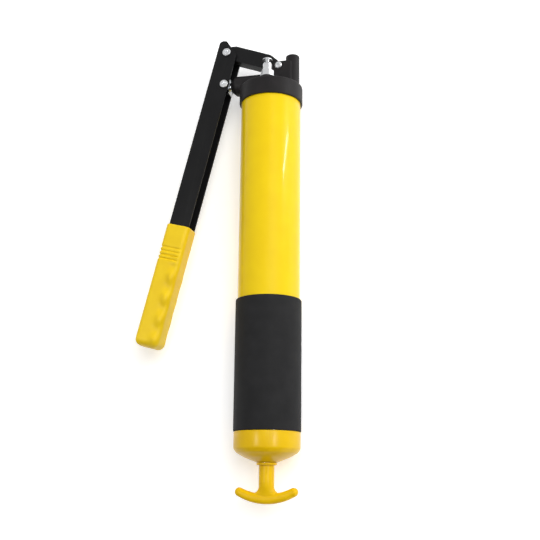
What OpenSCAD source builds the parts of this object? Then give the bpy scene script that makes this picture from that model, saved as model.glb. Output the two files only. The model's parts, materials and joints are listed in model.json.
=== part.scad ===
// Lever grease gun, lying on its side.
// +Y runs along the barrel towards the head, +X towards the outlet, +Z up.
// The origin is on the barrel's axis, at the middle of the rubber sleeve.

/* [Barrel] */
// Outer diameter of the barrel tube
barrel_od = 56.5; // [54:0.5:58]
// Wall of the barrel tube
barrel_wall = 1.2; // [0.8:0.1:1.6]
// Bare length of the barrel between the sleeve and the head
barrel_bare_len = 191.6; // [150:0.1:230]
// Outer diameter of the rubber sleeve
sleeve_od = 60; // [59:0.5:62]
// Length of the rubber sleeve
sleeve_len = 117.6; // [90:0.1:140]

/* [End cap] */
// Outer diameter of the end cap
cap_od = 59; // [58.5:0.5:61]
// Length of the cap's straight skirt
cap_skirt_len = 13; // [12:0.1:16]
// Radius of the cap's rounded shoulder
cap_shoulder_r = 4; // [3:0.1:6]
// Slope of the cap's cone, in degrees from flat
cap_slope = 27.8; // [20:0.1:32]

/* [Follower rod and handle] */
// Diameter of the follower rod
rod_d = 8; // [7:0.5:9]
// Diameter of the T handle's stem
stem_d = 13.5; // [12:0.1:15]
// Width of the T handle over its tips
tee_w = 55; // [48:1:60]
// Thickness of the T handle's arms
tee_t = 9; // [7:0.5:11]

/* [Head] */
// Outer diameter of the head's collar
collar_od = 60.4; // [60:0.1:64]
// Height of the collar
collar_h = 17; // [15:0.5:20]
// Outer diameter of the pump cylinder's housing
housing_od = 19.2; // [18.6:0.1:20]
// Outer diameter of the outlet boss
boss_od = 13.2; // [12.5:0.1:15]
// Distance of the outlet boss from the barrel's axis
boss_x = 21; // [20.5:0.1:21.5]
// Height of the outlet boss above the collar
boss_h = 32; // [31:0.1:35]
// Radius of the outlet's tapping hole
port_r = 4.5; // [4:0.1:4.6]
// Thickness of the two lugs that hold the link
lug_t = 3; // [2.5:0.1:4]

/* [Pump] */
// Diameter of the plunger
plunger_d = 9; // [8:0.5:9]
// Diameter of the check ball
ball_d = 6; // [5.5:0.5:6]

/* [Linkage] */
// Place of the link's pivot on the head, X and Y
pivot_c = [9.2, 287.1];
// Place of the link's pivot on the lever, X and Y
pivot_a = [-43, 306.6];
// Place of the plunger's pivot on the lever, X and Y
pivot_b = [-45, 273.3];
// Thickness of the link
link_t = 12.4; // [11:0.1:12.8]
// Diameter of the shanks through the lever
shank_d = 5.8; // [5:0.1:6]
// Diameter of the shank through the link and the head
shank_c_d = 5; // [4.5:0.1:5.4]

/* [Lever] */
// Lean of the lever away from the barrel at rest, in degrees
lever_lean = 13.9; // [13.5:0.1:14.5]
// Width of the channel's flanges
flange_w = 20.4; // [20:0.1:20.8]
// Depth of the channel over both flanges
channel_d = 18; // [17.8:0.1:18.4]
// Wall of the channel
channel_wall = 2; // [1.5:0.1:2]
// Length of the channel below the link's pivot
channel_len = 287; // [240:1:290]
// Distance from the lever's outer edge to the link's pivot
pivot_inset = 10.2; // [9.8:0.1:10.4]

/* [Grip] */
// Distance from the link's pivot to the top of the grip
grip_start = 179; // [170:0.5:190]
// Length of the grip
grip_len = 117.5; // [112:0.5:125]
// Depth of the grip, front to back
grip_d = 22.6; // [21.5:0.1:24]
// Distance between the finger bumps
bump_pitch = 20.5; // [18:0.5:22]

/* [Bleeder] */
// Distance of the bleeder from the barrel's axis, sideways and forwards
bleeder_at = [0.8, 19.5];
// Width of the bleeder's hexagon over its corners
bleeder_hex = 12.6; // [12:0.1:13.6]
// Diameter of the bell above the hexagon
bell_d = 8.8; // [8:0.1:9.6]
// Diameter of the bleeder's button
button_d = 9.2; // [8.6:0.1:10]

/* [Hidden] */

gap = 0.05; // between pieces that touch in one body, and round a running shaft
snug = 0.01; // round a shaft that is pressed or screwed in

barrel_r = barrel_od / 2;
barrel_id_r = barrel_r - barrel_wall;
sleeve_r = sleeve_od / 2;
sleeve_top = sleeve_len / 2;
sleeve_end = -sleeve_top;
head_y = sleeve_top + barrel_bare_len;
barrel_top = head_y + 7;
gasket_t = 1.4;
skirt_top = barrel_top + gasket_t + 0.1;
barrel_end = sleeve_end - 11.2;

cap_r = cap_od / 2;
cap_wall = 1.6;
cap_shoulder = sleeve_end - 0.1 - cap_skirt_len;
cap_nose_r = 9.5;
cap_hole_r = rod_d / 2 + 1.5;
cone_r = cap_r - cap_shoulder_r * (1 - sin(cap_slope));
cone_y = cap_shoulder - cap_shoulder_r * cos(cap_slope);
cap_end = cone_y - (cone_r - cap_nose_r) * tan(cap_slope);
seat_t = 1.5;
seat_y = barrel_end - gap - seat_t;

rod_r = rod_d / 2;
stem_r = stem_d / 2;
tee_collar_r = 9;
tee_collar_h = 2.2;
tee_y = cap_end - 0.3;
tee_tip_r = 3.2;
tee_arc_r = 42;
tee_top_arc_r = 53.7;
tee_waist = 8.2;
tee_fillet_r = 5;
tee_bottom = tee_y - 35.3;
rod_tail = tee_y - 18;

follower_y = head_y - 26;
follower_len = 15;
main_spring_r = 21;
main_wire_r = 1.3;
plate_t = 2;
rod_nose = follower_y + 24;

collar_r = collar_od / 2;
collar_top = head_y + collar_h;
plunger_y = pivot_b[1];
housing_r = housing_od / 2;
housing_x = -38;
nose_len = 3.6;
boss_r = boss_od / 2;
boss_top = collar_top + boss_h;
lug_top = pivot_c[1] + 4.6;
lug_left = pivot_c[0] - 7.5;
link_slot = link_t / 2 + 0.2;
lug_z = link_slot + lug_t;
slot_floor = pivot_c[1] - 7;
slot_left = pivot_c[0] - 13;

plunger_r = plunger_d / 2;
bore_r = plunger_r + gap;
bore_end = 12;
plunger_end = 8.5;
inlet_x = -6;
inlet_r = 2.5;
gland_r = 5.6;
gland_in = -28;
gland_head = 1.2;
packing_end = -24.4;

seat_r = ball_d / 3;
ball_seat_y = plunger_y + 4.6;
ball_r = ball_d / 2;
ball_y = ball_seat_y + sqrt(ball_r * ball_r - seat_r * seat_r) + gap;
ball_bore_r = ball_r + 0.6;
retainer_r = port_r - 0.4;
retainer_y = ball_seat_y + 9;
retainer_t = 3;
port_y = retainer_y + retainer_t;
retainer_hole_r = 1.5;
check_spring_r = 2.4;

shank_r = shank_d / 2;
shank_c_r = shank_c_d / 2;
head_h = 1.6;
screw_head_r = 4;
screw_bevel = 0.5;
link_head_r = 3.4;
link_rim = 0.7;
socket_r = 2.3;
socket_depth = 1.1;
nut_r = 5;
link_nut_r = 4.6;
link_spacer_r = 4.7;
plunger_spacer_r = 4.1;
link_len = norm(pivot_a - pivot_c);
link_turn = atan2(pivot_a[1] - pivot_c[1], pivot_a[0] - pivot_c[0]);
eye_c_r = 4.7;
eye_a_r = 6.4;
bush_t = 1;

flange_in = channel_d / 2 - channel_wall;
flange_out = channel_d / 2;
web_x = -pivot_inset;
flange_x = flange_w - pivot_inset;
nut_h = 3.2;

// The plunger's eye is a slot, because the pivot in it wanders a little from the plunger's line.
slot_r = 3.6;
slot_reach = 0.6;
slot_at = [-0.32, -0.56];
eye_left = slot_r + 2.6;
eye_right = slot_r + 1;
eye_h = 15;
eye_t = 10;

grip_out = 1.4;
grip_in = 1.6;
bump_h = 0.8;

bleeder_x = bleeder_at[0];
bleeder_z = bleeder_at[1];
pad_h = 3;
washer_t = 0.6;
washer_r = 7.2;
bleeder_spring_r = 1.85;
fine_wire_r = 0.3;
pad_r = 7.8;
thread_r = 3.85;
bleeder_y = collar_top + pad_h + washer_t + gap;
hex_h = 5.8;
bell_top = bleeder_y + 14.6;
bell_shoulder = 2;
neck_r = 2.2;
stem_bore_r = 1.3;
button_travel = 2;
button_y = bell_top + button_travel + 0.3;
button_t = 1.5;
bleeder_floor = collar_top - 6;
spring_shelf = bleeder_floor + 5;
neck_y = collar_top + 7.4;

fine = 96;
small = 48;

// A cylinder along Y from y0 to y1, or a cone if it has a second radius.
module y_rod(y0, y1, r, r2 = -1, fn = small) {
    translate([0, y0, 0])
        rotate([-90, 0, 0])
            cylinder(h = y1 - y0, r1 = r, r2 = r2 < 0 ? r : r2, $fn = fn);
}

// A cylinder along X from x0 to x1, or a cone if it has a second radius.
module x_rod(x0, x1, r, r2 = -1, fn = small) {
    translate([x0, 0, 0])
        rotate([0, 90, 0])
            cylinder(h = x1 - x0, r1 = r, r2 = r2 < 0 ? r : r2, $fn = fn);
}

// A cylinder along Z from z0 to z1, or a cone if it has a second radius.
module z_rod(z0, z1, r, r2 = -1, fn = small) {
    translate([0, 0, z0])
        cylinder(h = z1 - z0, r1 = r, r2 = r2 < 0 ? r : r2, $fn = fn);
}

// A ring about Y.
module y_ring(y0, y1, r_in, r_out, fn = small) {
    difference() {
        y_rod(y0, y1, r_out, fn = fn);
        y_rod(y0 - 1, y1 + 1, r_in, fn = fn);
    }
}

// A ring about Z.
module z_ring(z0, z1, r_in, r_out) {
    difference() {
        z_rod(z0, z1, r_out);
        z_rod(z0 - 1, z1 + 1, r_in);
    }
}

// Turns an outline of [radius, y] points about the Y axis.
module y_lathe(outline, fn = fine) {
    rotate([-90, 0, 0])
        rotate_extrude($fn = fn)
            polygon(outline);
}

// Puts its children in the lever's frame: origin at the link's pivot, X towards the barrel,
// and Y up the lever.
module on_lever() {
    translate([pivot_a[0], pivot_a[1], 0])
        rotate([0, 0, -lever_lean])
            children();
}

// Puts its children at both pivots of the lever.
module at_lever_pivots() {
    for (p = [pivot_a, pivot_b])
        translate([p[0], p[1], 0])
            children();
}

// A helix of round wire about Y, closed at both ends, as rings of points joined by faces.
module coil(y0, y1, r, wire_r, turns, steps = 12, sides = 6) {
    rings = turns * steps;
    pts = [
        for (i = [0:rings])
            let (a = 360 * i / steps, y = y0 + wire_r + (y1 - y0 - 2 * wire_r) * i / rings)
                for (j = [0:sides - 1])
                    let (b = 360 * j / sides, q = r + wire_r * cos(b))
                        [q * cos(a), y + wire_r * sin(b), q * sin(a)]
    ];
    walls = [
        for (i = [0:rings - 1])
            for (j = [0:sides - 1])
                let (k = (j + 1) % sides)
                    [i * sides + j, i * sides + k, (i + 1) * sides + k, (i + 1) * sides + j]
    ];
    near_end = [for (j = [sides - 1:-1:0]) j];
    far_end = [for (j = [0:sides - 1]) rings * sides + j];
    polyhedron(points = pts, faces = concat(walls, [near_end, far_end]), convexity = 10);
}

// The cap's rounded shoulder and its cone down to the nose, set inwards by t.
function dome(t) = [
    for (a = [0:10:90 - cap_slope])
        [
            cap_r - cap_shoulder_r + (cap_shoulder_r - t) * cos(a),
            cap_shoulder - (cap_shoulder_r - t) * sin(a)
        ],
    [cap_nose_r, cap_end + t / cos(cap_slope)]
];

module head_shell() {
    y_lathe([
        [0, head_y + 0.1],
        [collar_r, head_y + 0.1],
        [collar_r, collar_top - 1],
        [collar_r - 1, collar_top],
        [0, collar_top]
    ]);
    translate([0, plunger_y, 0]) {
        x_rod(housing_x + nose_len, boss_x, housing_r);
        x_rod(housing_x, housing_x + nose_len, gland_r + 0.8, housing_r);
    }
    translate([boss_x, 0, 0]) {
        y_rod(collar_top - 5, boss_top - 1, boss_r);
        y_rod(boss_top - 1, boss_top, boss_r, boss_r - 1);
    }
    translate([bleeder_x, 0, bleeder_z])
        y_rod(collar_top - 1, collar_top + pad_h, pad_r);
    translate([0, 0, -lug_z])
        linear_extrude(2 * lug_z)
            polygon([
                [lug_left - 3, collar_top - 2],
                [boss_x, collar_top - 2],
                [boss_x, lug_top],
                [pivot_c[0] - 3, lug_top],
                [lug_left, lug_top - 4.5]
            ]);
}

module head_casting() {
    color("#222224")
        difference() {
            head_shell();
            y_rod(head_y - 1, skirt_top, barrel_r + gap, fn = fine);
            translate([slot_left, slot_floor, -link_slot])
                cube([boss_x - boss_r - 0.2 - slot_left, 40, 2 * link_slot]);
            translate([pivot_c[0], pivot_c[1], 0])
                z_rod(-lug_z - 1, lug_z + 1, shank_c_r + gap);
            translate([0, plunger_y, 0]) {
                x_rod(housing_x - 1, bore_end, bore_r);
                x_rod(housing_x - 1, packing_end, gland_r + gap);
                x_rod(bore_end - 1, boss_x, seat_r);
            }
            translate([inlet_x, 0, 0])
                y_rod(head_y, plunger_y, inlet_r);
            translate([boss_x, 0, 0]) {
                y_rod(plunger_y, ball_seat_y + 1, seat_r);
                y_rod(ball_seat_y, retainer_y + 1, ball_bore_r);
                y_rod(retainer_y, port_y + 1, retainer_r + gap);
                y_rod(port_y, boss_top + 1, port_r);
            }
            translate([bleeder_x, 0, bleeder_z])
                y_rod(head_y, collar_top + pad_h + 1, thread_r + gap);
        }
}

module barrel_tube() {
    color("#f2c510")
        y_ring(barrel_end, barrel_top, barrel_id_r, barrel_r, fine);
}

module barrel_gasket() {
    color("#3a2a20")
        y_ring(barrel_top + gap, barrel_top + gasket_t, 25, barrel_r - gap, fine);
}

module barrel_sleeve() {
    color("#2a2a2c")
        y_ring(sleeve_end, sleeve_top, barrel_r, sleeve_r, fine);
}

module end_cap() {
    rim = sleeve_end - 0.1;
    nose = cap_end + cap_wall / cos(cap_slope);
    color("#dfae0c")
        difference() {
            y_lathe(concat([[0, rim], [cap_r, rim]], dome(0), [[0, cap_end]]));
            y_rod(seat_y - gap, rim + 1, barrel_r + gap, fn = fine);
            y_lathe(concat([[0, seat_y], [cap_r - cap_wall, seat_y]], dome(cap_wall), [[0, nose]]));
            y_rod(cap_end - 1, nose + 1, cap_hole_r);
        }
}

module spring_seat() {
    color("#9a9ca0")
        y_ring(seat_y, seat_y + seat_t, 10.5, barrel_r - gap, fine);
}

module rod_guide() {
    color("#8a6a2c")
        difference() {
            union() {
                y_rod(cap_end + 0.1, cap_end + cap_wall + 4, cap_hole_r - gap);
                y_rod(cap_end + cap_wall / cos(cap_slope) + gap, cap_end + cap_wall + 2.4, 9);
            }
            y_rod(cap_end - 1, cap_end + 10, rod_r + gap);
        }
}

module gland_nut() {
    color("#26262a")
        translate([0, plunger_y, 0])
            difference() {
                union() {
                    x_rod(housing_x - gland_head, housing_x - gland_head + 0.6, gland_r - 0.6, gland_r);
                    x_rod(housing_x - gland_head + 0.6, gland_in, gland_r);
                }
                x_rod(housing_x - 5, gland_in + 1, bore_r);
            }
}

module plunger_packing() {
    ring_t = (packing_end - gland_in) / 3;
    color("#d8d2c0")
        translate([0, plunger_y, 0])
            for (i = [0:2])
                difference() {
                    x_rod(gland_in + gap + ring_t * i, gland_in + ring_t * (i + 1), gland_r);
                    x_rod(gland_in - 1, packing_end + 1, bore_r);
                }
}

module valve_retainer() {
    color("#b9bbbf")
        translate([boss_x, 0, 0])
            y_ring(retainer_y, port_y - 0.1, retainer_hole_r, retainer_r);
}

module check_ball() {
    color("#c9ccd0")
        translate([boss_x, ball_y, 0])
            sphere(r = ball_r, $fn = small);
}

module check_spring() {
    color("#a8abb0")
        translate([boss_x, 0, 0])
            coil(ball_y + ball_r + 0.1, retainer_y - 0.1, check_spring_r, fine_wire_r, 3);
}

module bleeder_washer() {
    color("#b9bbbf")
        translate([bleeder_x, 0, bleeder_z])
            y_ring(collar_top + pad_h, collar_top + pad_h + washer_t, thread_r + gap, washer_r);
}

module bleeder_body() {
    color("#d2d5da")
        translate([bleeder_x, 0, bleeder_z])
            difference() {
                union() {
                    y_rod(bleeder_floor, bleeder_y, thread_r);
                    y_rod(bleeder_y, bleeder_y + hex_h, bleeder_hex / 2, fn = 6);
                    y_rod(bleeder_y + hex_h, bell_top - bell_shoulder, bell_d / 2);
                    y_rod(bell_top - bell_shoulder, bell_top, bell_d / 2, bell_d / 2 - 1.3);
                }
                y_rod(bleeder_floor - 1, bell_top + 1, stem_bore_r);
                y_rod(spring_shelf, bell_top + 1, neck_r + gap);
            }
}

module bleeder_button() {
    color("#e2e5ea")
        translate([bleeder_x, 0, bleeder_z]) {
            y_rod(button_y, button_y + button_t / 2, button_d / 2);
            y_rod(button_y + button_t / 2, button_y + button_t, button_d / 2, button_d / 2 - 1.2);
            y_rod(neck_y, button_y, neck_r);
            y_rod(bleeder_floor + 1.6, neck_y, stem_bore_r - gap);
        }
}

module bleeder_spring() {
    color("#a8abb0")
        translate([bleeder_x, 0, bleeder_z])
            coil(spring_shelf + 0.1, neck_y - 0.1, bleeder_spring_r, fine_wire_r, 5);
}

module link_screw() {
    color("#c4c7cc")
        translate([pivot_c[0], pivot_c[1], 0])
            union() {
                z_rod(lug_z, lug_z + link_rim, link_head_r);
                z_rod(lug_z + link_rim, lug_z + head_h, link_head_r, link_head_r - 1.2);
                z_rod(-lug_z - nut_h - 1, lug_z, shank_c_r);
            }
}

module link_nut() {
    color("#b4b7bc")
        translate([pivot_c[0], pivot_c[1], 0])
            difference() {
                z_rod(-lug_z - nut_h, -lug_z, link_nut_r, fn = 6);
                z_rod(-lug_z - nut_h - 1, -lug_z + 1, shank_c_r + snug);
            }
}

module link_arm() {
    color("#303034")
        translate([pivot_c[0], pivot_c[1], 0])
            rotate([0, 0, link_turn])
                mirror([0, 1, 0])
                    difference() {
                        union() {
                            z_rod(-link_t / 2, link_t / 2, eye_c_r);
                            translate([link_len, 0, 0])
                                z_rod(-link_t / 2, link_t / 2, eye_a_r);
                            translate([0, 0, -link_t / 2])
                                linear_extrude(link_t)
                                    polygon([
                                        [0, -eye_c_r],
                                        [14, -5.2],
                                        [45, -5.2],
                                        [link_len, -eye_a_r],
                                        [link_len, eye_a_r],
                                        [link_len - 2, 8.2],
                                        [link_len - 5.9, 9.8],
                                        [13.5, 9.7],
                                        [9.8, 8.6],
                                        [2, eye_c_r - 0.3]
                                    ]);
                        }
                        z_rod(-link_t, link_t, shank_c_r + gap + bush_t + snug);
                        translate([link_len, 0, 0])
                            z_rod(-link_t, link_t, shank_r + gap + bush_t + snug);
                    }
}

module link_bushes() {
    color("#b08a3c") {
        translate([pivot_c[0], pivot_c[1], 0])
            z_ring(-link_t / 2, link_t / 2, shank_c_r + gap, shank_c_r + gap + bush_t);
        translate([pivot_a[0], pivot_a[1], 0])
            z_ring(-link_t / 2, link_t / 2, shank_r + gap, shank_r + gap + bush_t);
    }
}

module lever_channel() {
    color("#232326")
        difference() {
            on_lever() {
                translate([web_x, -channel_len, -flange_out])
                    cube([channel_wall, channel_len + 8.6, channel_d]);
                for (z = [-flange_out, flange_in])
                    translate([0, 0, z])
                        linear_extrude(channel_wall)
                            polygon([
                                [web_x, 8.6],
                                [-6.4, 11.6],
                                [-3, 11.6],
                                [flange_x - 1.4, 0.9],
                                [flange_x, -0.6],
                                [flange_x, -channel_len],
                                [web_x, -channel_len]
                            ]);
            }
            at_lever_pivots()
                z_rod(-channel_d, channel_d, shank_r + snug);
        }
}

// Reach of the grip towards the barrel at a distance d below its top, with four finger bumps.
function grip_reach(d) = flange_x + grip_in
    + (d < 24 ? 0 : bump_h * (1 - cos(360 * (d - 24) / bump_pitch)) / 2 - bump_h / 2);

module lever_grip() {
    steps = 48;
    edge = [
        for (i = [0:steps])
            let (d = grip_len * i / steps)
                [grip_reach(d) - 4 * pow(max(0, (d - grip_len + 8) / 8), 2), -grip_start - d]
    ];
    color("#f0cb20")
        on_lever()
            difference() {
                translate([0, 0, -grip_d / 2])
                    linear_extrude(grip_d)
                        polygon(concat(
                            [[web_x - grip_out, -grip_start]],
                            edge,
                            [
                                [web_x - grip_out + 6, -grip_start - grip_len],
                                [web_x - grip_out, -grip_start - grip_len + 4]
                            ]
                        ));
                translate([web_x - gap, -channel_len - gap, -flange_out - gap])
                    cube([flange_w + 2 * gap, channel_len, channel_d + 2 * gap]);
            }
}

module lever_screws() {
    color("#d0d3d8")
        at_lever_pivots()
            difference() {
                union() {
                    z_rod(flange_out, flange_out + head_h - screw_bevel, screw_head_r);
                    z_rod(flange_out + head_h - screw_bevel, flange_out + head_h, screw_head_r,
                        screw_head_r - screw_bevel);
                    z_rod(-flange_out - nut_h - 1, flange_out, shank_r);
                }
                z_rod(flange_out + head_h - socket_depth, flange_out + head_h + 1, socket_r, fn = 6);
            }
}

module lever_nuts() {
    color("#b4b7bc")
        at_lever_pivots()
            difference() {
                z_rod(-flange_out - nut_h, -flange_out, nut_r, fn = 6);
                z_rod(-flange_out - nut_h - 1, -flange_out + 1, shank_r + snug);
            }
}

module link_spacers() {
    color("#9a9ca0")
        translate([pivot_a[0], pivot_a[1], 0])
            for (s = [0, 1])
                mirror([0, 0, s])
                    z_ring(link_t / 2 + gap, flange_in - gap, shank_r + snug, link_spacer_r);
}

module plunger_spacers() {
    color("#9a9ca0")
        translate([pivot_b[0], pivot_b[1], 0])
            for (s = [0, 1])
                mirror([0, 0, s])
                    z_ring(eye_t / 2 + gap, flange_in - gap, shank_r + snug, plunger_spacer_r);
}

module plunger_rod() {
    eye_x = pivot_b[0] + slot_at[0];
    color("#cfd2d6")
        difference() {
            union() {
                translate([0, plunger_y, 0]) {
                    x_rod(eye_x + eye_right - 1, plunger_end - 1, plunger_r);
                    x_rod(plunger_end - 1, plunger_end, plunger_r, plunger_r - 1);
                }
                translate([eye_x, plunger_y, 0])
                    intersection() {
                        translate([-eye_left, -eye_h / 2, -eye_t / 2])
                            cube([eye_left + eye_right, eye_h, eye_t]);
                        z_rod(-eye_t, eye_t, eye_h / 2 + 0.9);
                    }
            }
            translate([eye_x, plunger_y + slot_at[1], -eye_t]) {
                for (s = [-1, 1])
                    translate([0, s * slot_reach, 0])
                        cylinder(h = 2 * eye_t, r = slot_r, $fn = small);
                translate([-slot_r, -slot_reach, 0])
                    cube([2 * slot_r, 2 * slot_reach, 2 * eye_t]);
            }
        }
}

module follower_rod() {
    color("#c2c5c9") {
        y_rod(rod_tail, follower_y + follower_len + 4, rod_r);
        y_rod(follower_y + follower_len + 4, rod_nose, rod_r, rod_r - 1);
    }
}

// Outline of the T handle's arms, seen from above: a crescent with round tips, and fillets
// where it meets the stem.
module tee_outline() {
    tip_x = tee_w / 2 - tee_tip_r;
    tip_y = tee_waist + tee_top_arc_r - sqrt(pow(tee_top_arc_r, 2) - tip_x * tip_x) - tee_tip_r;
    translate([0, tee_bottom]) {
        intersection() {
            translate([0, tee_arc_r])
                circle(r = tee_arc_r, $fn = fine);
            translate([-tip_x, 0])
                square([2 * tip_x, 20]);
            difference() {
                translate([-tee_w, -1])
                    square([2 * tee_w, 20]);
                translate([0, tee_waist + tee_top_arc_r])
                    circle(r = tee_top_arc_r, $fn = fine);
            }
        }
        for (s = [-1, 1]) {
            translate([s * tip_x, tip_y])
                circle(r = tee_tip_r, $fn = small);
            difference() {
                translate([s < 0 ? -stem_r - tee_fillet_r : 0, tee_waist - 3])
                    square([stem_r + tee_fillet_r, tee_fillet_r + 4]);
                translate([s * (stem_r + tee_fillet_r), tee_waist + tee_fillet_r + 1.2])
                    circle(r = tee_fillet_r, $fn = small);
            }
        }
    }
}

module tee_handle() {
    color("#e6b818")
        difference() {
            union() {
                y_rod(tee_y - tee_collar_h, tee_y, tee_collar_r);
                y_rod(tee_bottom + tee_waist, tee_y - tee_collar_h, stem_r);
                translate([0, 0, -tee_t / 2])
                    linear_extrude(tee_t)
                        tee_outline();
            }
            y_rod(rod_tail - gap, tee_y + 1, rod_r + 0.02);
        }
}

module follower_cup() {
    color("#1f1f22")
        difference() {
            y_rod(follower_y, follower_y + follower_len, barrel_id_r - 0.08, fn = fine);
            y_rod(follower_y + 5, follower_y + follower_len + 1, barrel_id_r - 4, fn = fine);
            y_rod(follower_y - 1, follower_y + follower_len, rod_r + gap);
        }
}

module follower_back_plate() {
    color("#a6a9ae")
        y_ring(follower_y - plate_t, follower_y - gap, rod_r + gap, 24);
}

module follower_front_plate() {
    color("#a6a9ae")
        y_ring(follower_y + 5 + gap, follower_y + 5 + plate_t, rod_r + gap, 18);
}

module follower_nut() {
    color("#b4b7bc")
        difference() {
            y_rod(follower_y + 5 + plate_t + 0.3, follower_y + 12, 7, fn = 6);
            y_rod(follower_y, follower_y + 13, rod_r + snug);
        }
}

module rod_clip() {
    color("#8e9196")
        y_ring(follower_y - plate_t - 1.8, follower_y - plate_t - 0.3, rod_r + snug, 7);
}

module main_spring() {
    color("#85888e")
        coil(seat_y + seat_t + gap, follower_y - plate_t - gap, main_spring_r, main_wire_r, 14);
}

head_casting();
barrel_tube();
barrel_gasket();
barrel_sleeve();
end_cap();
spring_seat();
rod_guide();
gland_nut();
plunger_packing();
valve_retainer();
check_ball();
check_spring();
bleeder_washer();
bleeder_body();
bleeder_button();
bleeder_spring();
link_screw();
link_nut();
link_arm();
link_bushes();
lever_channel();
lever_grip();
lever_screws();
lever_nuts();
link_spacers();
plunger_spacers();
plunger_rod();
follower_rod();
tee_handle();
follower_cup();
follower_back_plate();
follower_front_plate();
follower_nut();
rod_clip();
main_spring();
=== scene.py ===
import bpy
import bmesh
import json
import math
from mathutils import Matrix, Vector


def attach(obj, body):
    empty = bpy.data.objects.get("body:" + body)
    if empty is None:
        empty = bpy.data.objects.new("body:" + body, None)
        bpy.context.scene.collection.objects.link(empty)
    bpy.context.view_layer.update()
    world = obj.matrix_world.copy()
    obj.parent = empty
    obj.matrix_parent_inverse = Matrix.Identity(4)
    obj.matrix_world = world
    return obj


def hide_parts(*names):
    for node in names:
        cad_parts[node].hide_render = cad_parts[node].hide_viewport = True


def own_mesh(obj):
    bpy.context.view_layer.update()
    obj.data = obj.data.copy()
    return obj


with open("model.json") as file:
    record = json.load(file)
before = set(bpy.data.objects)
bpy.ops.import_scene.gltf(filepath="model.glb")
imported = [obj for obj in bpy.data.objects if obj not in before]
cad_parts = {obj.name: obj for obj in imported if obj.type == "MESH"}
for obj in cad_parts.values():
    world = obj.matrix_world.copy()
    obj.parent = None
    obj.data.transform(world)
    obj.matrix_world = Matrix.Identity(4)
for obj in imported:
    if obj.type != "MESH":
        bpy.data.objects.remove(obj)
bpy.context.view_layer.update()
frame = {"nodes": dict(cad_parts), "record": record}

mm = 0.001

# Meshes are built along Z and turned to lie along one of the frame's axes.
alongY = Matrix.Rotation(-math.pi / 2, 4, "X")
alongX = Matrix.Rotation(math.pi / 2, 4, "Y")
alongZ = Matrix.Identity(4)


# sRGB hex to a linear colour.
def linear(code):
    parts = [int(code[i:i + 2], 16) / 255 for i in (1, 3, 5)]
    return [c / 12.92 if c <= 0.04045 else ((c + 0.055) / 1.055) ** 2.4 for c in parts] + [1]


# Adds a node with its settings, and gives its inputs values or links. i6 stands for input number 6.
def addNode(tree, kind, settings=None, **inputs):
    node = tree.nodes.new(kind)
    for key, value in (settings or {}).items():
        setattr(node, key, value)
    for key, value in inputs.items():
        socket = node.inputs[int(key[1:]) if key[1:].isdigit() else key.replace("_", " ")]
        if isinstance(value, bpy.types.NodeSocket):
            tree.links.new(value, socket)
        else:
            socket.default_value = value
    return node


# A material whose colour drifts between dark and light in patches of that many millimetres.
def newMaterial(name, dark, light, patch, detail=2.0, **settings):
    material = bpy.data.materials.new(name)
    material.use_nodes = True
    tree = material.node_tree
    shader = tree.nodes["Principled BSDF"]
    for key, value in settings.items():
        shader.inputs[key.replace("_", " ")].default_value = value
    place = addNode(tree, "ShaderNodeTexCoord").outputs["Object"]
    drift = addNode(tree, "ShaderNodeTexNoise", Vector=place, Scale=1 / (patch * mm), Detail=detail)
    share = addNode(tree, "ShaderNodeMapRange", Value=drift.outputs["Fac"], From_Min=0.3, From_Max=0.7)
    colour = addNode(tree, "ShaderNodeMix", {"data_type": "RGBA"}, i0=share.outputs["Result"],
                     i6=linear(dark), i7=linear(light))
    tree.links.new(colour.outputs[2], shader.inputs["Base Color"])
    return material, tree, shader, place


# Fine patterns over a material: one moves its roughness by swing, and one raises a relief depth
# millimetres high. sheen and relief are the patterns' sizes in millimetres, lay how they are stretched.
def addTexture(made, rough, swing, sheen, relief, depth, detail=3.0, blend=0.6, strength=1.0,
               lay=(1, 1, 1)):
    material, tree, shader, place = made
    laid = addNode(tree, "ShaderNodeMapping", Vector=place, Scale=lay).outputs["Vector"]
    fine = [addNode(tree, "ShaderNodeTexNoise", Vector=laid, Scale=1 / (size * mm), Detail=detail,
                    Roughness=blend).outputs["Fac"] for size in (sheen, relief)]
    level = addNode(tree, "ShaderNodeMapRange", Value=fine[0], To_Min=rough - swing, To_Max=rough + swing)
    raised = addNode(tree, "ShaderNodeBump", Height=fine[1], Distance=depth * mm, Strength=strength)
    tree.links.new(level.outputs["Result"], shader.inputs["Roughness"])
    tree.links.new(raised.outputs["Normal"], shader.inputs["Normal"])
    return material


# Paint or smooth plastic, with a fine orange peel.
def paintMaterial(name, dark, light, rough, peel, patch=18.0, **settings):
    made = newMaterial(name, dark, light, patch, IOR=1.5, Specular_IOR_Level=0.14, **settings)
    return addTexture(made, rough, 0.04, 3.0, 1.4, peel, detail=2.0, blend=0.5)


# A dull surface with a fine grain, such as rubber, sand-cast iron or moulded vinyl.
def grainMaterial(name, dark, light, rough, grain, depth, **settings):
    made = newMaterial(name, dark, light, 14.0, 3.0, IOR=1.5, **settings)
    return addTexture(made, rough, 0.06, grain, grain, depth)


# Bare or plated metal with machining marks. Real marks are finer: they are drawn this coarse to show.
def metalMaterial(name, dark, light, rough, lay=(1, 1, 1), marks=0.35):
    made = newMaterial(name, dark, light, 6.0, Metallic=1.0)
    return addTexture(made, rough, 0.08, marks, marks, 0.01, strength=0.6, lay=lay)


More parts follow.
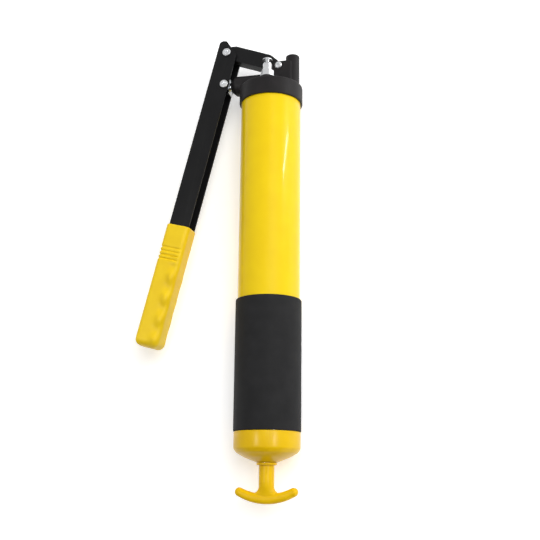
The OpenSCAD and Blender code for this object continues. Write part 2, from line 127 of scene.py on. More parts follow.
materials = {
    # satin black enamel over sand-cast iron: soft sheen with a faint pebbled grain
    "black_casting": grainMaterial("blackCasting", "#191718", "#201d1e", 0.5, 0.9, 0.03,
                                   Specular_IOR_Level=0.25),
    # glossy yellow powder coat: clean highlights that waver slightly on the orange peel
    "barrel_paint": paintMaterial("barrelPaint", "#efca04", "#f3d006", 0.3, 0.012,
                                  Coat_Weight=0.2, Coat_Roughness=0.06),
    # the same coat on the cap, a little deeper in colour
    "cap_paint": paintMaterial("capPaint", "#e3b603", "#e9be05", 0.3, 0.012,
                               Coat_Weight=0.15, Coat_Roughness=0.2),
    # black nitrile rubber: broad dull sheen and a fine matte grain
    "sleeve_rubber": grainMaterial("sleeveRubber", "#1e1e1f", "#242425", 0.7, 0.6, 0.02,
                                   Specular_IOR_Level=0.2),
    # soft dipped vinyl: warm, waxy and slightly mottled
    "grip_vinyl": grainMaterial("gripVinyl", "#efc80c", "#f5d012", 0.42, 1.2, 0.02,
                                Specular_IOR_Level=0.3),
    # injection-moulded yellow plastic: smooth, with a soft highlight
    "tee_plastic": paintMaterial("teePlastic", "#e8ba06", "#eec20c", 0.3, 0.006, patch=9.0),
    # black oxide and paint on pressed steel: nearly flat black with a low sheen
    "black_steel": grainMaterial("blackSteel", "#121213", "#171718", 0.45, 0.7, 0.008,
                                 Specular_IOR_Level=0.2),
    # bright zinc plate: clear reflections, faintly clouded
    "zinc_steel": metalMaterial("zincPlate", "#eceef0", "#f8f9fa", 0.3),
    # turned steel: fine rings round the piece
    "plain_steel": metalMaterial("turnedSteel", "#a6a8ac", "#b8babd", 0.32, (1, 6, 1)),
    # ground and polished steel: mirror-like with faint rings
    "polished_steel": metalMaterial("polishedSteel", "#c6c9cd", "#d6d9dc", 0.12, (1, 5, 1), 0.2),
    # drawn spring wire: darker steel with a slight oil film
    "spring_steel": metalMaterial("springWire", "#7c7f84", "#8e9196", 0.28),
    # sintered bronze: brown-gold, dull and finely porous
    "bronze": metalMaterial("sinteredBronze", "#a07a3c", "#b58c4c", 0.42, marks=0.25),
    # nitrile seal rubber: matte, nearly black
    "seal_rubber": grainMaterial("sealRubber", "#151515", "#1c1c1c", 0.6, 0.5, 0.01),
    # pressed fibre packing: pale and fibrous
    "packing": grainMaterial("packingFibre", "#c4bca4", "#d6cfb8", 0.8, 0.4, 0.05),
}
print("stage 2: materials", len(materials))


# A closed outline from (x, y, radius) corners, each rounded by its radius.
def rounded(corners, step=15):
    points = []
    count = len(corners)
    for i, (x, y, r) in enumerate(corners):
        here = Vector((x, y))
        before = (Vector(corners[i - 1][:2]) - here).normalized()
        after = (Vector(corners[(i + 1) % count][:2]) - here).normalized()
        turn = math.pi - before.angle(after)
        if r <= 0 or turn < 0.01:
            points.append((x, y))
            continue
        reach = r * math.tan(turn / 2)
        centre = here + (before + after).normalized() * (r / math.cos(turn / 2))
        start, end = here + before * reach - centre, here + after * reach - centre
        sweep = math.atan2(start.x * end.y - start.y * end.x, start.dot(end))
        steps = max(2, round(math.degrees(turn) / step))
        for k in range(steps + 1):
            a = sweep * k / steps
            points.append((centre.x + start.x * math.cos(a) - start.y * math.sin(a),
                           centre.y + start.x * math.sin(a) + start.y * math.cos(a)))
    return points


# Keeps a share between 0 and 1.
def clamped(value):
    return min(1, max(0, value))


def shaded(data, smooth):
    data.shade_smooth()
    data.set_sharp_from_angle(angle=math.radians(smooth))


def linked(name, data):
    obj = bpy.data.objects.new(name, data)
    bpy.context.scene.collection.objects.link(obj)
    return obj


# An object in metres from a mesh in millimetres: faces outwards, edges past smooth degrees kept sharp.
def finished(name, mesh, smooth=35):
    bmesh.ops.remove_doubles(mesh, verts=mesh.verts, dist=1e-4)
    bmesh.ops.recalc_face_normals(mesh, faces=mesh.faces)
    data = bpy.data.meshes.new(name)
    mesh.to_mesh(data)
    mesh.free()
    data.transform(Matrix.Scale(mm, 4))
    shaded(data, smooth)
    return linked(name, data)


# A solid through rings of points, the same number in each, closed at both ends.
def skinned(name, rings, smooth=35):
    mesh = bmesh.new()
    made = [[mesh.verts.new(p) for p in ring] for ring in rings]
    for a, b in zip(made, made[1:]):
        for i in range(len(a)):
            j = (i + 1) % len(a)
            corners = (a[i], a[j], b[j], b[i])
            if len({v.co.to_tuple(5) for v in corners}) > 2:  # no face where a side has shrunk to a point
                mesh.faces.new(corners)
    mesh.faces.new(made[0])
    mesh.faces.new(made[-1])
    return finished(name, mesh, smooth)


# Turns a closed outline of (radius, height) about an axis. A radius of 0 lies on it and makes a pole.
def lathe(name, outline, turn=alongY, centre=(0, 0, 0), steps=128):
    mesh = bmesh.new()
    place = Matrix.Translation(centre) @ turn
    made = []
    for k in range(steps):
        a = 2 * math.pi * k / steps
        ring = [place @ Vector((r * math.cos(a), r * math.sin(a), h)) for r, h in outline]
        made.append([mesh.verts.new(p) for p in ring])
    polar = [r <= 1e-9 for r, h in outline]
    for k in range(steps):
        a, b = made[k], made[(k + 1) % steps]
        for i in range(len(outline)):
            j = (i + 1) % len(outline)
            if polar[i] and polar[j]:
                continue
            if polar[i]:
                mesh.faces.new((a[i], a[j], b[j]))
            elif polar[j]:
                mesh.faces.new((a[i], a[j], b[i]))
            else:
                mesh.faces.new((a[i], a[j], b[j], b[i]))
    return finished(name, mesh)


# A solid turned from (radius, height, rounding) corners, closed on its axis.
def rod(name, points, turn=alongY, centre=(0, 0, 0), steps=64):
    first, last = points[0][1], points[-1][1]
    return lathe(name, rounded([(0, first, 0)] + list(points) + [(0, last, 0)]), turn, centre, steps)


def bore(name, radius, low, high, turn, centre, steps=48):
    return rod(name, [(radius, low, 0), (radius, high, 0)], turn, centre, steps)


# A slab with that outline between low and high, its rims rounded by edge.
def plate(name, outline, low, high, edge=0.0, place=alongZ):
    mesh = bmesh.new()
    floor = [mesh.verts.new((x, y, low)) for x, y in outline]
    roof = [mesh.verts.new((x, y, high)) for x, y in outline]
    ends = [mesh.faces.new(floor), mesh.faces.new(roof)]
    for i in range(len(outline)):
        j = (i + 1) % len(outline)
        mesh.faces.new((floor[i], floor[j], roof[j], roof[i]))
    if edge > 0:
        rims = list(set(ends[0].edges) | set(ends[1].edges))
        bmesh.ops.bevel(mesh, geom=rims, offset=edge, segments=3, profile=0.5, affect="EDGES")
    bmesh.ops.transform(mesh, matrix=place, verts=mesh.verts)
    return finished(name, mesh)


# Applies the modifiers.
def baked(obj, smooth):
    depsgraph = bpy.context.evaluated_depsgraph_get()
    data = bpy.data.meshes.new_from_object(obj.evaluated_get(depsgraph))
    old = obj.data
    obj.modifiers.clear()
    obj.data = data
    bpy.data.meshes.remove(old)
    data.name = obj.name
    shaded(data, smooth)
    return obj


# Cuts the others from obj, or adds or intersects them, and removes them.
def combine(obj, others, operation="DIFFERENCE", smooth=35):
    for other in others:
        step = obj.modifiers.new("combine", "BOOLEAN")
        step.operation = operation
        step.object = other
        step.solver = "EXACT"
    baked(obj, smooth)
    for other in others:
        bpy.data.objects.remove(other)
    return obj


# One skin over overlapping solids, with every inside corner filleted.
def softened(name, objects, voxel, rounds):
    mesh = bmesh.new()
    for other in objects:
        mesh.from_mesh(other.data)
        bpy.data.objects.remove(other)
    data = bpy.data.meshes.new(name)
    mesh.to_mesh(data)
    mesh.free()
    obj = linked(name, data)
    skin = obj.modifiers.new("skin", "REMESH")
    skin.mode = "VOXEL"
    skin.voxel_size = voxel * mm
    skin.use_smooth_shade = True
    fillet = obj.modifiers.new("fillet", "SMOOTH")
    fillet.factor = 0.5
    fillet.iterations = rounds
    return baked(obj, 60)


# Gives a piece its material, its body and the nodes that it stands for.
def finish(obj, slot, body, *nodes):
    obj.data.materials.clear()
    obj.data.materials.append(materials[slot])
    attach(obj, body)
    if nodes:
        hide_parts(*nodes)


# A tree with those named inputs, and the sockets to link from and to.
def nodeTree(name, *sockets):
    tree = bpy.data.node_groups.new(name, "GeometryNodeTree")
    tree.interface.new_socket("Geometry", in_out="INPUT", socket_type="NodeSocketGeometry")
    for label, kind in sockets + (("Material", "Material"),):
        tree.interface.new_socket(label, in_out="INPUT", socket_type="NodeSocket" + kind)
    tree.interface.new_socket("Geometry", in_out="OUTPUT", socket_type="NodeSocketGeometry")
    return tree, tree.nodes.new("NodeGroupInput").outputs, tree.nodes.new("NodeGroupOutput").inputs


def closeTree(tree, geometry, given, out):
    real = addNode(tree, "GeometryNodeRealizeInstances", Geometry=geometry).outputs[0]
    painted = addNode(tree, "GeometryNodeSetMaterial", Geometry=real, Material=given["Material"])
    tree.links.new(painted.outputs[0], out["Geometry"])
    return tree


# Copies of a piece in a straight row.
def rowTree():
    tree, given, out = nodeTree("pieceRow", ("Piece", "Object"), ("Count", "Int"), ("Step", "Vector"))
    line = addNode(tree, "GeometryNodeMeshLine", Count=given["Count"], Offset=given["Step"])
    piece = addNode(tree, "GeometryNodeObjectInfo", Object=given["Piece"])
    copies = addNode(tree, "GeometryNodeInstanceOnPoints", Points=line.outputs[0],
                     Instance=piece.outputs["Geometry"])
    return closeTree(tree, copies.outputs[0], given, out)


# A round wire wound at an even pitch along Z.
def coilTree():
    tree, given, out = nodeTree("wireCoil", ("Radius", "Float"), ("Wire", "Float"), ("Turns", "Float"),
                                ("Length", "Float"))
    path = addNode(tree, "GeometryNodeCurveSpiral", Resolution=48, Rotations=given["Turns"],
                   Start_Radius=given["Radius"], End_Radius=given["Radius"], Height=given["Length"])
    wire = addNode(tree, "GeometryNodeCurvePrimitiveCircle", Resolution=10, Radius=given["Wire"])
    swept = addNode(tree, "GeometryNodeCurveToMesh", Curve=path.outputs[0], Profile_Curve=wire.outputs[0],
                    Fill_Caps=True)
    return closeTree(tree, swept.outputs[0], given, out)


pieceRow = rowTree()
wireCoil = coilTree()


# The plain mesh that a tree makes, moved by place in millimetres.
def grown(name, tree, place=alongZ, **values):
    obj = linked(name, bpy.data.meshes.new(name))
    step = obj.modifiers.new("grown", "NODES")
    step.node_group = tree
    for socket in tree.interface.items_tree:
        if socket.in_out == "INPUT" and socket.name in values:
            step[socket.identifier] = values[socket.name]
    baked(obj, 35)
    obj.data.transform(Matrix.Scale(mm, 4) @ place @ Matrix.Scale(1 / mm, 4))
    return obj


# A coil of wire along Y, its ends' outsides length apart.
def coiled(name, size, slot, x, z, length):
    place = Matrix.Translation((x, size["start"] + size["wire"], z)) @ alongY
    return grown(name, wireCoil, place, Radius=size["radius"] * mm, Wire=size["wire"] * mm,
                 Turns=size["turns"], Length=(length - 2 * size["wire"]) * mm, Material=materials[slot])


barrel = {"radius": 28.25, "wall": 1.2, "start": -70.0, "end": 257.4, "lip": 0.4}
sleeve = {"radius": 30.0, "inner": 28.27, "end": 58.8, "lip": 0.8, "innerLip": 0.2}
smoothTurn = 192  # steps round the large turned pieces


# The outline of a plain tube's wall. lip and innerLip round its outer and inner rims.
def tubeWall(outer, inner, low, high, lip, innerLip):
    return rounded([(outer, low, lip), (outer, high, lip),
                    (inner, high, innerLip), (inner, low, innerLip)])


tube = tubeWall(barrel["radius"], barrel["radius"] - barrel["wall"], barrel["start"], barrel["end"],
                barrel["lip"], barrel["lip"])
finish(lathe("barrel", tube, steps=smoothTurn), "barrel_paint", "head", "barrel_tube")
tube = tubeWall(sleeve["radius"], sleeve["inner"], -sleeve["end"], sleeve["end"], sleeve["lip"],
                sleeve["innerLip"])
finish(lathe("sleeve", tube, steps=smoothTurn), "sleeve_rubber", "head", "barrel_sleeve")

# The cap slips over the barrel's end up to its seat. dome holds the outside's (radius, height, rounding).
cap = {"radius": 29.5, "wall": 1.6, "socket": 28.3, "seat": -71.5, "rim": -58.9, "hem": 0.7,
       "innerShoulder": -73.31, "innerRound": 2.4, "nose": 9.5, "noseEnd": -84.9, "noseThick": 1.8,
       "hole": 5.5,
       "dome": [(29.5, -73.6, 3), (27.0, -77.0, 3), (20.7, -80.6, 25), (13.0, -83.7, 8)]}
finish(lathe("endCap", rounded([
    (cap["radius"], cap["rim"], cap["hem"]),
    *cap["dome"],
    (cap["nose"], cap["noseEnd"], 0.5),
    (cap["hole"], cap["noseEnd"], 0.3),
    (cap["hole"], cap["noseEnd"] + cap["noseThick"], 0.3),
    (cap["nose"], cap["noseEnd"] + cap["noseThick"] + 0.1, 0.5),
    (cap["radius"] - cap["wall"], cap["innerShoulder"], cap["innerRound"]),
    (cap["radius"] - cap["wall"], cap["seat"], 0),
    (cap["socket"], cap["seat"], 0),
    (cap["socket"], cap["rim"], 0.3),
]), steps=smoothTurn), "cap_paint", "head", "end_cap")
print("stage 3: barrel, sleeve and cap")


# The arms' front edge is an arc of radius frontArc from bottom, and their back edge one of radius backArc
# from waist. grow makes good what the smoothing takes off. waist, filletStart, flatStart and neckStart are
# measured from bottom.
tee = {"collar": 9.0, "collarHeight": 2.2, "stem": 6.75, "width": 55.0, "depth": 4.5, "top": -85.2,
       "bottom": -120.15, "waist": 8.2, "frontArc": 52.0, "backArc": 52.0, "tip": 3.2, "grow": 0.25,
       "oval": 0.8, "fillet": 6.0, "filletStart": 9.0, "flatStart": 5.0, "flatLength": 13.0,
       "neckStart": 5.5, "hole": 4.02, "holeEnd": -103.25, "voxel": 0.4, "rounds": 6}


# The front and back edge of an arm, x away from the middle.
def armEdges(x):
    front = tee["frontArc"] - math.sqrt(tee["frontArc"] ** 2 - x * x)
    back = tee["waist"] + tee["backArc"] - math.sqrt(tee["backArc"] ** 2 - x * x)
    return front, back


# Oval sections across a curved middle line, from one round tip to the other.
def armRings():
    tipX = tee["width"] / 2 - tee["tip"]
    inward = 14  # sections along one arm
    around = 32  # points round a section
    nudge = 0.1  # how far ahead the middle line's direction is taken
    half = [(tipX, a) for a in range(85, 0, -12)] + [(tipX * k / inward, 0) for k in range(inward, -1, -1)]
    rings = []
    for side in (-1, 1):
        for x, a in half if side < 0 else reversed(half[:-1]):
            front, back = armEdges(x)
            ahead = sum(armEdges(x + nudge)) - front - back
            middle = Vector((x, (front + back) / 2))
            along = Vector((1, ahead / (2 * nudge))).normalized()
            thick = (back - front) / 2 * along.x + tee["grow"]
            middle += along * thick * math.sin(math.radians(a))
            shrink = math.cos(math.radians(a))
            across = Vector((-along.y, along.x))
            deep = (thick + (tee["depth"] - thick) * shrink) * shrink
            ring = []
            for k in range(around):
                u, v = math.cos(2 * math.pi * k / around), math.sin(2 * math.pi * k / around)
                flat = middle + across * thick * shrink * math.copysign(abs(u) ** tee["oval"], u)
                z = math.copysign(abs(v) ** tee["oval"], v) * deep
                ring.append(Vector((side * flat.x, tee["bottom"] + flat.y, z)))
            rings.append(ring)
    return rings


# Round stem that widens along a fillet and flattens into the arms.
def neckRings():
    flatDepth = tee["depth"] - 0.4
    heights = [tee["top"] - 1 - tee["bottom"], tee["flatStart"] + tee["flatLength"]]
    heights += [tee["filletStart"] + tee["fillet"] * (1 - math.sin(math.radians(a)))
                for a in range(0, 91, 10)]
    rings = []
    for height in heights + [tee["neckStart"]]:
        rise = clamped((height - tee["filletStart"]) / tee["fillet"])
        wide = tee["stem"] + tee["fillet"] * (1 - math.sqrt(1 - (1 - rise) ** 2))
        t = clamped((height - tee["flatStart"]) / tee["flatLength"])
        deep = flatDepth + (tee["stem"] - flatDepth) * t * t * (3 - 2 * t)
        rings.append([Vector((wide * math.cos(2 * math.pi * k / 64), tee["bottom"] + height,
                              deep * math.sin(2 * math.pi * k / 64))) for k in range(64)])
    return rings


handle = softened("teeHandle", [skinned("arms", armRings()), skinned("neck", neckRings())], tee["voxel"],
                  tee["rounds"])
combine(handle, [rod("collar", [(tee["collar"], tee["top"] - tee["collarHeight"], 0.5),
                                (tee["collar"], tee["top"], 0.5)])], "UNION")
combine(handle, [bore("rodHole", tee["hole"], tee["holeEnd"], tee["top"] + 5.2, alongY, (0, 0, 0), 64)])
finish(handle, "tee_plastic", "rod", "tee_handle")
print("stage 4: T handle", len(handle.data.polygons))


# Places along the barrel's axis, except those whose names end in X or Z. pivots holds the link's pivot on
# the head, the link's on the lever, and the plunger's on the lever.
head = {"collar": 30.2, "low": 250.5, "collarTop": 267.4, "buried": 262.0, "housing": 9.6,
        "housingX": -38.0, "nose": 3.2, "noseLength": 3.6, "bossX": 21.0, "boss": 6.6, "bossTop": 299.4,
        "pad": 7.8, "padTop": 270.4, "lugStart": 263.0, "lugTop": 291.7, "lugLeft": 1.7,
        "lugCorner": 4.5, "lugZ": 9.4, "slotZ": 6.4, "slotLeft": -3.8, "slotRight": 14.2,
        "slotFloor": 280.1, "socket": 28.3, "socketTop": 258.9, "pivotHole": 2.55, "pumpBore": 4.55,
        "pumpEnd": 12.0, "glandBore": 5.65, "glandEnd": -24.4, "bleederHole": 3.9, "bleederTop": 275.0,
        "bleederEnd": 255.0, "valve": 3.6, "valveLow": 277.9, "valveTop": 290.1, "port": 4.5,
        "portEnd": 289.9, "voxel": 0.5, "rounds": 6}
pivots = {"head": (9.2, 287.1), "lever": (-43.0, 306.6), "plunger": (-45.0, 273.3)}
pumpAxis = (0, pivots["plunger"][1], 0)
bossAxis = (head["bossX"], 0, 0)
bleederAxis = (0.8, 0, 19.5)
past = 5.0  # how far a cut reaches outside a face

housingEnd = head["housingX"]
casting = softened("headCasting", [
    rod("collar", [(head["collar"], head["low"], 0), (head["collar"], head["collarTop"], 1.0)], steps=160),
    rod("housing", [(head["housing"] - head["nose"], housingEnd, 0),
                    (head["housing"], housingEnd + head["noseLength"], 0),
                    (head["housing"], head["bossX"], 0)], alongX, pumpAxis),
    rod("boss", [(head["boss"], head["buried"], 0), (head["boss"], head["bossTop"], 1.2)], alongY,
        bossAxis),
    bore("pad", head["pad"], head["buried"], head["padTop"], alongY, bleederAxis, 64),
    plate("lugs", rounded([
        (head["lugLeft"] - 3, head["lugStart"], 0),
        (head["bossX"], head["lugStart"], 0),
        (head["bossX"], head["lugTop"], 0),
        (pivots["head"][0] - 3, head["lugTop"], 1.5),
        (head["lugLeft"], head["lugTop"] - head["lugCorner"], 2),
    ]), -head["lugZ"], head["lugZ"]),
], head["voxel"], head["rounds"])
slotTop = head["bossTop"] + past
slot = [(head["slotLeft"], head["slotFloor"]), (head["slotRight"], head["slotFloor"]),
        (head["slotRight"], slotTop), (head["slotLeft"], slotTop)]
combine(casting, [
    bore("barrelSocket", head["socket"], head["low"] - past, head["socketTop"], alongY, (0, 0, 0),
         smoothTurn),
    bore("pivotHole", head["pivotHole"], -head["lugZ"] - past, head["lugZ"] + past, alongZ,
         (*pivots["head"], 0)),
    bore("pumpBore", head["pumpBore"], housingEnd - past, head["pumpEnd"], alongX, pumpAxis),
    bore("glandBore", head["glandBore"], housingEnd - past, head["glandEnd"], alongX, pumpAxis),
    bore("bleederBore", head["bleederHole"], head["bleederEnd"], head["bleederTop"], alongY, bleederAxis),
    bore("valveBore", head["valve"], head["valveLow"], head["valveTop"], alongY, bossAxis),
    bore("port", head["port"], head["portEnd"], head["bossTop"] + past, alongY, bossAxis, 64),
    plate("slot", slot, -head["slotZ"], head["slotZ"]),
])
finish(casting, "black_casting", "head", "head_casting")
print("stage 5: head", len(casting.data.polygons))

gland = {"radius": 5.6, "hole": 4.56, "outer": -39.2, "inner": -28.0, "edge": 0.6}
glandNut = rod("glandNut", [(gland["radius"], gland["outer"], gland["edge"]),
                            (gland["radius"], gland["inner"], 0.2)], alongX, pumpAxis)
combine(glandNut, [bore("hole", gland["hole"], gland["outer"] - past, gland["inner"] + past, alongX,
                        pumpAxis)])
finish(glandNut, "black_steel", "head", "gland_nut")


# The link is drawn along its own length, from its eye on the head, with its back edge as (x, y) points.
link = {"thick": 12.4, "edge": 0.5, "headEye": 4.7, "leverEye": 6.4, "headHole": 3.56, "leverHole": 3.96,
        "front": -5.2, "frontStart": 14.0, "frontEnd": 45.0,
        "backStart": [(2, 4.5), (9.8, 8.6), (13.5, 9.7)], "backEnd": [(-5.9, 9.8), (-2, 8.2)]}
linkLine = Vector(pivots["lever"]) - Vector(pivots["head"])
linkPlace = (Matrix.Translation((*pivots["head"], 0))
             @ Matrix.Rotation(math.atan2(linkLine.y, linkLine.x), 4, "Z")
             @ Matrix.Scale(-1, 4, (0, 1, 0)))
span = linkLine.length
near = [(-link["headEye"] * math.cos(math.radians(a)), link["headEye"] * math.sin(math.radians(a)))
        for a in range(-86, 75, 8)]
far = [(span + link["leverEye"] * math.cos(math.radians(a)), link["leverEye"] * math.sin(math.radians(a)))
       for a in range(64, -89, -8)]
outline = near + link["backStart"] + [(span + x, y) for x, y in link["backEnd"]] + far
outline += [(link["frontEnd"], link["front"]), (link["frontStart"], link["front"])]
linkArm = plate("linkArm", outline, -link["thick"] / 2, link["thick"] / 2, link["edge"], linkPlace)
combine(linkArm, [bore("eye", link["headHole"], -8, 8, alongZ, (*pivots["head"], 0)),
                  bore("eye", link["leverHole"], -8, 8, alongZ, (*pivots["lever"], 0))])
finish(linkArm, "black_steel", "link", "link_arm")

# A pressed U channel, open on its front, drawn with its length along Y and then leant. A plain channel up
# to blankTop is trimmed to topCorners, seen from the side as (x, y, rounding).
lever = {"lean": 13.9, "web": -10.2, "front": 10.2, "half": 9.0, "wall": 2.0, "bend": 1.6, "lip": 0.5,
         "length": 287.0, "trim": 0.3, "blankTop": 14.0, "hole": 2.92, "edge": 0.25,
         "topCorners": [(11.2, -1.6, 0.3), (8.8, 0.9, 2), (-3, 11.6, 2), (-6.4, 11.6, 2), (-11.2, 8.0, 1)]}
leverPlace = (Matrix.Translation((*pivots["lever"], 0))
              @ Matrix.Rotation(-math.radians(lever["lean"]), 4, "Z"))


# A bar along the lever with that section of (x, z), between two distances along it.
def leverBar(name, section, low, high):
    return skinned(name, [[leverPlace @ Vector((x, y, z)) for x, z in section] for y in (low, high)])


def channel():
    web, front, half = lever["web"], lever["front"], lever["half"]
    wall, bend, lip = lever["wall"], lever["bend"], lever["lip"]
    section = rounded([(web, -half, bend), (front, -half, lip), (front, -half + wall, lip),
                       (web + wall, -half + wall, 0), (web + wall, half - wall, 0),
                       (front, half - wall, lip), (front, half, lip), (web, half, bend)])
    body = leverBar("leverChannel", section, -lever["length"], lever["blankTop"])
    low = -lever["length"] + lever["trim"]
    corners = [(web - 1, low, 1), (front + 1, low, 1)] + lever["topCorners"]
    side = plate("side", rounded(corners), -half - past, half + past, 0, leverPlace)
    combine(body, [side], "INTERSECT")
    combine(body, [bore("hole", lever["hole"], -half - past, half + past, alongZ, (*pivots[name], 0))
                   for name in ("lever", "plunger")])
    edges = body.modifiers.new("edges", "BEVEL")
    edges.width = lever["edge"] * mm
    edges.segments = 2
    edges.limit_method = "ANGLE"
    edges.angle_limit = math.radians(50)
    return baked(body, 35)


finish(channel(), "black_steel", "lever", "lever_channel")
print("stage 6: link and lever")


# Lengths run down from the grip's top. Grooves run round its back and sides as far as ringStop, and bumps
# stand on its two front edges. Inside core the section isn't drawn in.
grip = {"start": 179.0, "length": 117.5, "left": -11.6, "right": 11.8, "half": 11.3, "backRound": 3.5,
        "frontRound": 5.0, "rings": (22.8, 26.5, 30.3, 34.0), "ringDepth": 0.9, "ringWidth": 2.6,
        "ringStop": 10.5, "bumpFrom": 36.0, "bumpStart": 50.0, "bumpPitch": 20.4, "bump": 1.4,
        "bumpAt": (6.8, 10.8), "bumpSpread": 12.0, "bumpBase": 0.35, "core": 7.0, "topRound": 1.5,
        "endRound": 6.0, "step": 0.6, "points": 128, "hollow": (10.25, 9.05), "hollowStart": 170.0,
        "hollowEnd": 287.05}
gripCorners = [(grip["left"], -grip["half"], grip["backRound"]),
               (grip["right"], -grip["half"], grip["frontRound"]),
               (grip["right"], grip["half"], grip["frontRound"]),
               (grip["left"], grip["half"], grip["backRound"])]


# The section at d, drawn in by inset, and by sink too where a ring groove runs.
def gripRing(d, inset, sink):
    raw = rounded(gripCorners, 6)
    lengths = [0.0]
    for i in range(len(raw)):
        lengths.append(lengths[-1] + math.dist(raw[i], raw[(i + 1) % len(raw)]))
    swell = math.cos(2 * math.pi * (d - grip["bumpStart"]) / grip["bumpPitch"])
    # the bumps fade out towards either end
    fall = clamped((d - grip["bumpFrom"]) / 3) * clamped((grip["length"] - d) / 8)
    ring, i = [], 0
    for k in range(grip["points"]):
        want = lengths[-1] * k / grip["points"]
        while lengths[i + 1] < want:
            i += 1
        a, b = Vector(raw[i]), Vector(raw[(i + 1) % len(raw)])
        at = a.lerp(b, (want - lengths[i]) / max(1e-9, lengths[i + 1] - lengths[i]))
        away = Vector([max(0, abs(v) - grip["core"]) * math.copysign(1, v) for v in at]).normalized()
        offX, offZ = at.x - grip["bumpAt"][0], abs(at.y) - grip["bumpAt"][1]
        near = math.exp(-(offX ** 2 + offZ ** 2) / grip["bumpSpread"])
        raised = fall * near * grip["bump"] * (grip["bumpBase"] + swell)
        at -= away * (inset + sink * clamped((grip["ringStop"] - at.x) / 3) - raised)
        ring.append(leverPlace @ Vector((at.x, -grip["start"] - d, at.y)))
    return ring


# How far a rounding of that radius draws in the section, depth below the end that it rounds.
def drawnIn(radius, depth):
    return radius - math.sqrt(max(0, radius ** 2 - max(0, radius - depth) ** 2))


def gripBody():
    end, endRound = grip["length"], grip["endRound"]
    stops = [0, 0.1, 0.35, 0.7, 1.1, grip["topRound"]]
    count = int((end - endRound - grip["topRound"]) / grip["step"])
    stops += [grip["topRound"] + grip["step"] * k for k in range(1, count + 1)]
    stops = [d for d in stops if d < end - endRound - 0.2]
    stops += [end - endRound * (1 - math.sin(math.radians(a))) for a in range(0, 91, 9)]
    rings = []
    for d in stops:
        inset = drawnIn(grip["topRound"], d) + drawnIn(endRound, end - d)
        sink = sum(grip["ringDepth"] * 0.5 * (1 + math.cos(2 * math.pi * (d - g) / grip["ringWidth"]))
                   for g in grip["rings"] if abs(d - g) < grip["ringWidth"] / 2)
        rings.append(gripRing(d, inset, sink))
    return skinned("leverGrip", rings, 50)


leverGrip = gripBody()
x, z = grip["hollow"]
hollow = leverBar("hollow", [(-x, -z), (x, -z), (x, z), (-x, z)], -grip["hollowEnd"], -grip["hollowStart"])
combine(leverGrip, [hollow], smooth=50)
finish(leverGrip, "grip_vinyl", "lever", "lever_grip")
print("stage 7: grip", len(leverGrip.data.polygons))


snug = 0.02  # keeps faces that touch from sharing a plane

# seat is how far the head's underside and the nut's face stand from the middle.
leverScrew = {"head": 4.0, "height": 1.6, "shank": 2.89, "seat": 9.0, "socket": 2.2, "socketDepth": 1.9,
              "dome": 0.5, "nut": 5.0, "nutHeight": 3.2, "tail": 1.0}
linkScrew = {"head": 3.4, "height": 1.6, "shank": 2.49, "seat": 9.4, "socket": 1.6, "socketDepth": 1.2,
             "dome": 0.8, "nut": 4.6, "nutHeight": 3.2, "tail": 1.0}


# Screw along Z: a head with a rounded rim and a hexagonal socket, and a plain shank.
def socketScrew(name, size, at):
    top, under = size["seat"] + size["height"], size["seat"] + snug
    body = rod(name, [(size["shank"], -size["seat"] - size["nutHeight"] - size["tail"], 0.4),
                      (size["shank"], under, 0), (size["head"], under, 0.2),
                      (size["head"], top - size["dome"], 0.4), (size["head"] - size["dome"], top, 0.4)],
               alongZ, at)
    socket = bore("socket", size["socket"], top - size["socketDepth"], top + 2, alongZ, at, 6)
    return combine(body, [socket])


# Hexagonal nut along Z with both faces chamfered at the corners.
def hexNut(name, size, at):
    low, high = -size["seat"] - size["nutHeight"], -size["seat"] - snug
    flat, wide = size["nut"] * 0.9, size["nut"] + 0.1
    body = bore(name, size["nut"], low, high, alongZ, at, 6)
    chamfer = rod("chamfer", [(flat, low, 0), (wide, low + 0.5, 0),
                              (wide, high - 0.5, 0), (flat, high, 0)], alongZ, at)
    combine(body, [chamfer], "INTERSECT")
    return combine(body, [bore("hole", size["shank"] + 0.01, low - 1, high + 1, alongZ, at)])


apart = (Vector(pivots["plunger"]) - Vector(pivots["lever"])) * mm
leverPivot, headPivot = (*pivots["lever"], 0), (*pivots["head"], 0)
for name, node, piece in (("leverScrews", "lever_screws", socketScrew("screw", leverScrew, leverPivot)),
                          ("leverNuts", "lever_nuts", hexNut("nut", leverScrew, leverPivot))):
    row = grown(name, pieceRow, Piece=piece, Count=2, Step=(apart.x, apart.y, 0),
                Material=materials["zinc_steel"])
    bpy.data.objects.remove(piece)
    finish(row, "zinc_steel", "lever", node)
finish(socketScrew("linkScrew", linkScrew, headPivot), "zinc_steel", "head", "link_screw")
finish(hexNut("linkNut", linkScrew, headPivot), "zinc_steel", "head", "link_nut")

# The outlet's thread, an even coil half sunk in the port's wall.
thread = {"radius": 4.45, "wire": 0.32, "turns": 7.0, "start": 290.48, "length": 7.84}
threadCoil = coiled("outletThread", thread, "black_casting", head["bossX"], 0, thread["length"])
finish(threadCoil, "black_casting", "head")
print("stage 8: screws, nuts and thread")


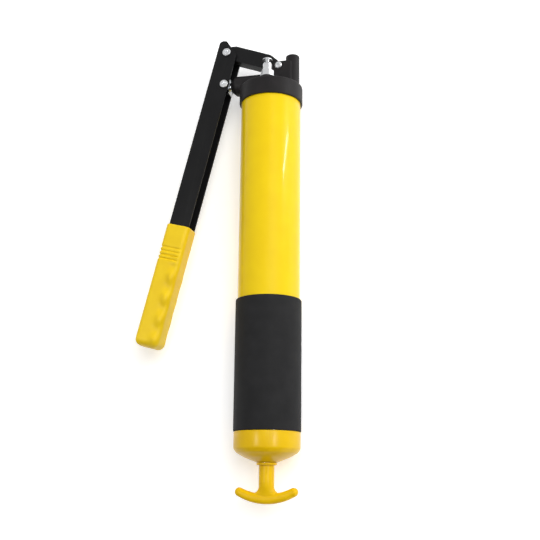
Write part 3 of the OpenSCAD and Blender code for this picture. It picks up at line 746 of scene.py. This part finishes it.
# Each spring is wound from start to end on its axis and drawn at rest. joint, travel and fixed are only
# listed: its joint presses it towards its fixed end.
springs = {
    "main_spring": {"radius": 21.0, "wire": 1.3, "turns": 14.0, "start": -70.0, "end": 222.35,
                    "x": 0.0, "z": 0.0, "joint": "rod_pull", "travel": 245.0, "fixed": -70.0},
    "check_spring": {"radius": 2.4, "wire": 0.3, "turns": 3.0, "start": 283.29, "end": 286.8,
                     "x": head["bossX"], "z": 0.0, "joint": "check_lift", "travel": 1.5, "fixed": 286.8},
    "bleeder_spring": {"radius": 1.85, "wire": 0.3, "turns": 5.0, "start": 266.5, "end": 274.7,
                       "x": bleederAxis[0], "z": bleederAxis[2], "joint": "bleeder_push", "travel": 2.0,
                       "fixed": 266.5},
}
for name, spring in springs.items():
    length = spring["end"] - spring["start"]
    coil = coiled(name + "Coil", spring, "spring_steel", spring["x"], spring["z"], length)
    finish(coil, "spring_steel", "head", name)
    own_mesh(coil)
print("stage 9: springs")


# These stay as the frame has them and only get their materials.
kept = ("link_bushes", "link_spacers", "plunger_spacers", "plunger_rod", "follower_rod", "bleeder_body",
        "bleeder_button", "bleeder_washer", "barrel_gasket", "spring_seat", "rod_guide", "plunger_packing",
        "valve_retainer", "check_ball", "follower_cup", "follower_back_plate", "follower_front_plate",
        "follower_nut", "rod_clip")
slots = {part["node"]: part["material_slot"] for part in frame["record"]["subparts"]}
for name in kept:
    node = frame["nodes"][name]
    node.data.materials.clear()
    node.data.materials.append(materials[slots[name]])
print("stage 10: kept pieces", len(kept))


# The floor stands just under the gun. near and far are the brightness behind the T handle and elsewhere.
studio = {"floor": -30.4, "size": 3000.0, "thick": 20.0, "near": 0.1, "far": 0.62, "floorGlow": 0.38,
          "turn": 14.0}
size = studio["size"]
floor = plate("floor", [(-size, -size), (size, -size), (size, size), (-size, size)],
              studio["floor"] - studio["thick"], studio["floor"])
# matt white paper lit from behind: even and without shine
paper = newMaterial("floorPaper", "#f6f6f6", "#f8f8f8", 90, Roughness=0.9, IOR=1.3,
                    Emission_Color=(1, 1, 1, 1), Emission_Strength=studio["floorGlow"])
floor.data.materials.append(paper[0])

# An even grey tent, darker on the side of the T handle.
world = bpy.data.worlds.new("studio")
world.use_nodes = True
tree = world.node_tree
around = addNode(tree, "ShaderNodeTexCoord").outputs["Generated"]
sky = addNode(tree, "ShaderNodeSeparateXYZ", Vector=around)
glow = addNode(tree, "ShaderNodeMapRange", Value=sky.outputs["Y"], From_Min=-0.8, From_Max=0.0,
               To_Min=studio["near"], To_Max=studio["far"])
tree.links.new(glow.outputs["Result"], tree.nodes["Background"].inputs["Strength"])
tree.nodes["Background"].inputs["Color"].default_value = (1, 1, 1, 1)
bpy.context.scene.world = world
bpy.context.scene.view_settings.view_transform = "Standard"

# Lamps and camera turn together about the barrel's axis. A mirrored lamp shows in gloss and nowhere else.
rig = Matrix.Rotation(math.radians(studio["turn"]), 4, "Y")
aim = Vector((0, 0.09, 0))
lamps = {
    "topSoft": {"at": (0.25, 0.5, 1.5), "size": (1.0, 1.2), "power": 15.0, "mirrored": False},
    "rightSoft": {"at": (1.3, 0.4, 0.9), "size": (0.8, 1.2), "power": 4.0, "mirrored": False},
    "barrelStrip": {"at": (1.5, 1.0, 0.85), "size": (0.05, 0.7), "power": 6.0, "mirrored": True},
    "capStripLeft": {"at": (-0.72, -0.03, 1.0), "size": (0.2, 0.16), "power": 2.2, "mirrored": True},
    "capStripRight": {"at": (0.5, -0.03, 1.0), "size": (0.2, 0.16), "power": 2.2, "mirrored": True},
}
for name, lamp in lamps.items():
    data = bpy.data.lights.new(name, "AREA")
    data.shape = "RECTANGLE"
    data.size, data.size_y = lamp["size"]
    data.energy = lamp["power"]
    light = linked(name, data)
    facing = (aim - Vector(lamp["at"])).to_track_quat("-Z", "Y").to_matrix().to_4x4()
    light.matrix_world = rig @ Matrix.Translation(lamp["at"]) @ facing
    light.visible_glossy = lamp["mirrored"]
    light.visible_diffuse = not lamp["mirrored"]

view = {"target": (0.0009, 0.0876, 0.0), "distance": 0.825, "tilt": 14.0, "roll": 0.675, "lens": 60.0}


def placeCamera():
    tilt, roll = math.radians(view["tilt"]), math.radians(view["roll"])
    forward = Vector((0, math.sin(tilt), -math.cos(tilt)))
    side, up = Vector((1, 0, 0)), Vector((0, math.cos(tilt), math.sin(tilt)))
    right = side * math.cos(roll) + up * math.sin(roll)
    above = up * math.cos(roll) - side * math.sin(roll)
    data = bpy.data.cameras.new("camera")
    data.lens = view["lens"]
    data.sensor_width = 36
    data.clip_start = 0.01
    data.clip_end = 20
    camera = linked("camera", data)
    turn = Matrix((right, above, -forward)).transposed().to_4x4()
    place = Matrix.Translation(Vector(view["target"]) - forward * view["distance"])
    camera.matrix_world = rig @ place @ turn
    bpy.context.scene.camera = camera


placeCamera()
print("stage 11: studio")
